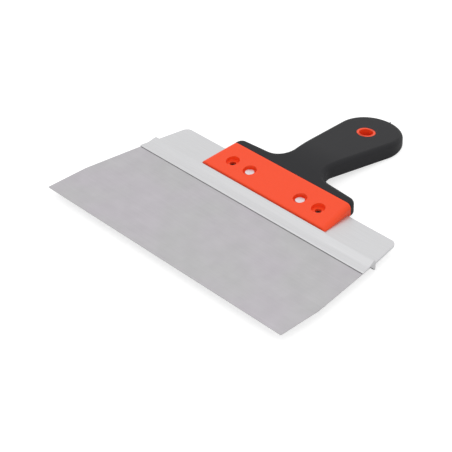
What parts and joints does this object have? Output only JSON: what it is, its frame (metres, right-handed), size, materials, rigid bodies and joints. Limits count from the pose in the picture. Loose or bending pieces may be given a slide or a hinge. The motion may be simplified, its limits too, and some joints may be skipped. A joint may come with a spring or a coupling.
{
  "type": "flexible putty knife",
  "caption": "Wide flexible putty knife: thin steel blade in an aluminium clamp profile, riveted to a two-colour handle with a hang hole.",
  "frame": {"origin": "middle of the working edge, at half the blade's thickness", "axes": "+X along the working edge, +Y from the working edge towards the handle, +Z out of the upper face"},
  "size_m": [0.25, 0.2493, 0.0185],
  "materials": {
    "blade_steel": "fine brushed spring steel, faint mottling",
    "profile_aluminium": "satin extruded aluminium, fine lines along X",
    "core_plastic": "satin red-orange moulded plastic",
    "grip_rubber": "matt dark grey soft moulding, fine grain",
    "rivet_aluminium": "satin pressed rivet heads"
  },
  "bodies": {
    "handle": {"handle_core": "core_plastic", "soft_grip": "grip_rubber", "clamp_profile": "profile_aluminium", "rivet_left": "rivet_aluminium", "rivet_right": "rivet_aluminium"},
    "blade": {"blade": "blade_steel"}
  },
  "joints": [
    {"name": "blade_flex", "type": "hinge", "parent": "handle", "child": "blade", "pos_m": [0, 0.0867, 0], "axis": [1, 0, 0], "range_deg": [-20, 20], "stiffness_Nm_per_rad": 13, "deforming": ["blade"]}
  ]
}
